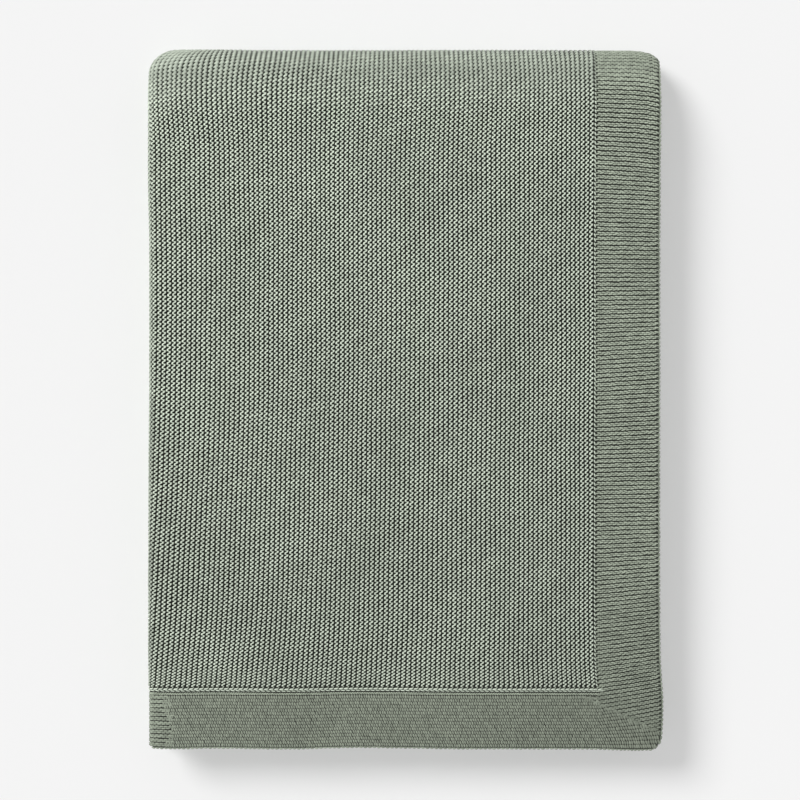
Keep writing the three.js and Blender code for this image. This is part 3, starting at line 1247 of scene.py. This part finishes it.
# The cloth's mesh: how far from the hems its first lines lie, and how far apart its lines are, in millimetres
clothMesh = {
    "hem": [0, 0.3, 0.8, 1.5, 3, 7],
    "seam": 1.5,
    "nearFold": 12.0,
    "step": 13.0,
    "foldStep": 1.1,
    "rollStep": 3.2,
    "rimFrom": 0.2,
    "rimOver": 1.4,
}


def meshLines(marks, fine, fineStep):
    rows = []
    for low, high in zip(marks, marks[1:]):
        isFine = any(a - 1e-6 <= low and high <= b + 1e-6 for a, b in fine)
        count = max(1, math.ceil((high - low) / (fineStep if isFine else clothMesh["step"])))
        rows += list(np.linspace(low, high, count, endpoint=False))
    return np.array(rows + [marks[-1]])


def blanketCloth():
    seam, near = clothMesh["seam"], clothMesh["nearFold"]
    seamMarks = [fold["border"] - seam, fold["border"], fold["border"] + seam]
    hemMarks = [a + fold["hemInset"] for a in clothMesh["hem"]]
    marks = hemMarks + seamMarks
    marks += [leftStart - near, leftStart, leftEnd, leftEnd + near]
    marks += [rightStart - near, rightStart, rightEnd, rightEnd + near]
    marks += [clothWidth - a for a in reversed(hemMarks + seamMarks)]
    us = meshLines(marks, [(leftStart, leftEnd), (rightStart, rightEnd)], clothMesh["foldStep"])
    rollStart = pathPlace(along, alongMarks, "rollStart")
    marks = hemMarks + seamMarks + [rollStart, footEnd, frontStart, frontEnd]
    marks += [clothLength - a for a in reversed(clothMesh["hem"] + seamMarks)]
    vs = meshLines(marks, [(rollStart, footEnd), (frontStart, frontEnd)], clothMesh["rollStep"])
    u, v = np.meshgrid(us, vs, indexing="ij")
    sides = [lay(u, v, ground(u, v, 1)), lay(u, v, -ground(u, v, -1))]
    points = np.concatenate([side.reshape(-1, 3) for side in sides]) * mm
    rows, columns = u.shape

    def corner(i, j, side):
        return side * rows * columns + i * columns + j

    faces = []
    for i in range(rows - 1):
        for j in range(columns - 1):
            faces.append([corner(a, b, 0) for a, b in ((i, j), (i, j + 1), (i + 1, j + 1), (i + 1, j))])
            faces.append([corner(a, b, 1) for a, b in ((i, j), (i + 1, j), (i + 1, j + 1), (i, j + 1))])
    for i in range(rows - 1):
        faces.append([corner(i, 0, 0), corner(i + 1, 0, 0), corner(i + 1, 0, 1), corner(i, 0, 1)])
        last = columns - 1
        faces.append([corner(i, last, 0), corner(i, last, 1), corner(i + 1, last, 1), corner(i + 1, last, 0)])
    for j in range(columns - 1):
        faces.append([corner(0, j, 0), corner(0, j, 1), corner(0, j + 1, 1), corner(0, j + 1, 0)])
        last = rows - 1
        faces.append([corner(last, j, 0), corner(last, j + 1, 0), corner(last, j + 1, 1), corner(last, j, 1)])
    mesh = meshFrom("blanketCloth", points, faces)
    inBorder = 1 - panelShare(u, v, 1.0)
    pointValues(mesh, "border", np.concatenate([inBorder.ravel()] * 2))
    # Where stitches are laid, the ground is painted near black as shade, which fades out beside the rim
    covered = ramp(fromRim(u, v), clothMesh["rimFrom"], clothMesh["rimOver"])  # beside the rim it is lighter
    dark = [(stitched(u, v, side) * covered).ravel() for side in (1, -1)]
    pointValues(mesh, "stitched", np.concatenate(dark))
    flat = np.tile(np.stack([u.ravel(), v.ravel()], axis=-1) * mm, (2, 1))
    layer = mesh.uv_layers.new(name="cloth")
    loopPoints = np.zeros(len(mesh.loops), int)
    mesh.loops.foreach_get("vertex_index", loopPoints)
    layer.data.foreach_set("uv", flat[loopPoints].astype(np.float32).ravel())
    print("blanketCloth: %d triangles" % (2 * len(faces)))
    return newObject("blanketCloth", mesh)


# The pieces: the cloth first, then the stitches of the panel, its folds, the borders, the seam and the rim
panelYarn, shadedFoldYarn, sideYarn, endYarn = (yarnMaterial(name) for name in finishes)
print("materials: %d yarns" % len(finishes))
cloth = blanketCloth()
cloth.data.materials.append(groundMaterial())
tree = stitchTree()
pieces = [cloth]

places, isSide, ridges = panelPlaces()
panelInputs = {
    "Stitch": zigzag,
    "Width": 1.0,
    "Length": 1.0,
    "Height": 1.0,
    "Unevenness": panel["unevenness"],
    "Seed": panel["seed"],
    "Finish": panelYarn,
}
atLeftSide = ramp(ridges, rollShares["soonerFrom"], rollShares["soonerOver"])
upRoll = places["at"][:, 1] + rollShares["sooner"] * atLeftSide
closing = straightRead(rollShares, "place", "share", upRoll) * panel["rollSteps"]
closing = np.floor(closing + np.random.default_rng(panel["seed"]).random(len(ridges))).astype(int)
closing = np.minimum(closing, panel["rollSteps"])
isPlain = ~isSide & (closing == 0)
parts = np.quantile(ridges[isPlain], np.linspace(0, 1, panel["pieces"] + 1))
parts[-1] += 1  # so that the last part has the last ridge too
for number, (low, high) in enumerate(zip(parts, parts[1:]), 1):
    chosen = pickPlaces(places, isPlain & (ridges >= low) & (ridges < high))
    pieces.append(layStitches("panelStitches%d" % number, tree, chosen, panelInputs))
for step, shape in enumerate(rollShapes, 1):
    chosen = pickPlaces(places, closing == step)
    pieces.append(layStitches("rollStitches%d" % step, tree, chosen, {**panelInputs, "Stitch": shape}))
isSide = isSide & (closing == 0)
sideRidges = joinPlaces(pickPlaces(places, isSide), rightFoldPlaces())
# The folds' stitches take the panel yarn painted darker as shade
pieces.append(layStitches("foldStitches", tree, sideRidges, {**panelInputs, "Finish": shadedFoldYarn}))
leaningInputs = {**panelInputs, "Stitch": leaning}
pieces.append(layStitches("leaningStitches", tree, leaningPlaces(), leaningInputs))
borderInputs = {**panelInputs, "Stitch": leg, "Seed": border["seed"], "Finish": sideYarn}
sidePlaces = joinPlaces(sideBorderPlaces(), cornerRowPlaces(), leftRowPlaces())
pieces.append(layStitches("sideBorderStitches", tree, sidePlaces, borderInputs))
endInputs = {**borderInputs, "Finish": endYarn}
pieces.append(layStitches("endBorderStitches", tree, endBorderPlaces(), endInputs))
ticks, loops, dashes, small, smaller = seamRowPlaces()
pieces.append(layStitches("seamLoops", tree, joinPlaces(loops, dashes), {**panelInputs, "Stitch": leg}))
pieces.append(layStitches("seamStitches", tree, joinPlaces(ticks, small, smaller), borderInputs))
pieces.append(layStitches("hemLoops", tree, hemPlaces(), {**borderInputs, "Stitch": rimLoop}))
for shape in (zigzag, *rollShapes, leaning, leg, rimLoop):
    bpy.data.objects.remove(shape)

# The floor, the light and the camera
studio = {
    "floorSize": 6.0,
    "floorColour": (0.85, 0.85, 0.85),
    "skyStrength": 0.28,
    "keyStrength": 1.76,
    "keyFrom": (-1.0, 0.84, 1.05),
    "keyAngle": 26.0,
    "topStrength": 1.39,
    "topFrom": (-0.06, 0.05, 1.0),
    "topAngle": 12.0,
    "cameraHeight": 1.7,
    "cameraAt": (-0.0041, -0.0023),
    "lens": 90.5,
}


def studioScene():
    size = studio["floorSize"] / 2
    square = [(-size, -size, 0), (size, -size, 0), (size, size, 0), (-size, size, 0)]
    floor = newObject("floor", meshFrom("floor", square, [(0, 1, 2, 3)], smooth=False))
    paper = bpy.data.materials.new("paper")
    paper.use_nodes = True
    shader = paper.node_tree.nodes["Principled BSDF"]
    shader.inputs["Base Color"].default_value = rgba(studio["floorColour"])
    shader.inputs["Roughness"].default_value = 1.0
    shader.inputs["Specular IOR Level"].default_value = 0.0
    floor.data.materials.append(paper)
    world = bpy.data.worlds.new("studio")
    world.use_nodes = True
    world.node_tree.nodes["Background"].inputs["Color"].default_value = (1, 1, 1, 1)
    world.node_tree.nodes["Background"].inputs["Strength"].default_value = studio["skyStrength"]
    bpy.context.scene.world = world
    for name in ("key", "top"):
        light = bpy.data.objects.new(name + "Light", bpy.data.lights.new(name + "Light", "SUN"))
        light.data.energy = studio[name + "Strength"]
        light.data.angle = math.radians(studio[name + "Angle"])
        light.rotation_euler = Vector(studio[name + "From"]).to_track_quat("Z", "Y").to_euler()
        bpy.context.scene.collection.objects.link(light)
    camera = bpy.data.objects.new("camera", bpy.data.cameras.new("camera"))
    camera.data.lens = studio["lens"]
    camera.data.sensor_width = 36.0
    top = boxHigh[2] * mm
    camera.location = (*studio["cameraAt"], top + studio["cameraHeight"])
    bpy.context.scene.collection.objects.link(camera)
    bpy.context.scene.camera = camera
    bpy.context.scene.view_settings.view_transform = "Standard"


studioScene()
print("studio: floor, light and camera")

for piece in pieces:
    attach(piece, "root")
    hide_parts("blanket")
